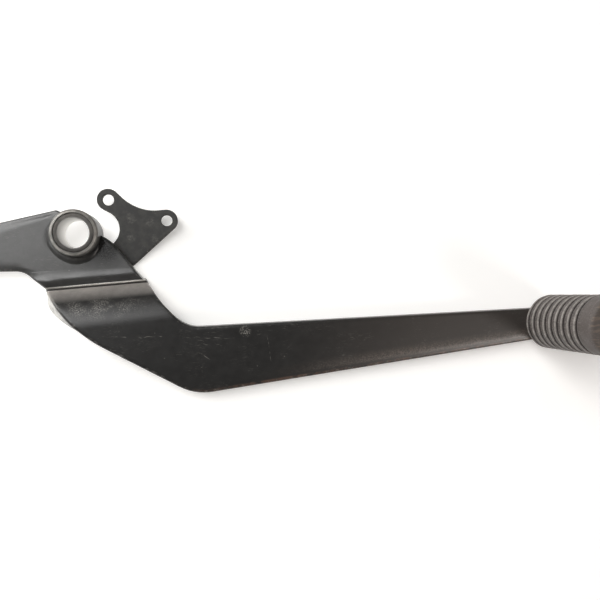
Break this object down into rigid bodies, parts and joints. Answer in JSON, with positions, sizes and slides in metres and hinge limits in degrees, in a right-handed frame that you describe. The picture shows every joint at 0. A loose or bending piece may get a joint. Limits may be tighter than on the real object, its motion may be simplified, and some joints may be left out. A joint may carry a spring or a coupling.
{
  "type": "rear brake pedal",
  "caption": "Right-hand rear brake pedal: an offset pressed steel arm on a welded pivot tube, with a rod lever, a spring bracket and a ribbed rubber foot peg.",
  "frame": {"origin": "on the pivot axis, in the plane of the arm plate's inboard face", "axes": "+Z along the pivot bore, outboard, away from the motorcycle's frame; +X forward, towards the foot peg; +Y up, towards the spring holes"},
  "size_m": [0.3276, 0.1001, 0.076],
  "materials": {
    "blackened_plate": "satin black, worn and scuffed to bare steel at the bends",
    "worn_tube": "black worn to bare steel with a little rust",
    "bush_steel": "bare ground steel",
    "blackened_sheet": "satin black, lightly scuffed",
    "weld_bead": "black over a rippled weld bead",
    "plated_stud": "dull zinc plate",
    "peg_rubber": "matt grey-brown rubber, dusty, scuffed at the end"
  },
  "bodies": {
    "root": {"pedal_arm": "blackened_plate", "pivot_tube": "worn_tube", "pivot_bush": "bush_steel", "pivot_weld_front": "weld_bead", "pivot_weld_back": "weld_bead", "spring_bracket": "blackened_sheet", "bracket_weld_lower": "weld_bead", "bracket_weld_side": "weld_bead", "peg_stud": "plated_stud", "peg_weld": "weld_bead", "peg_rubber": "peg_rubber"}
  },
  "joints": []
}
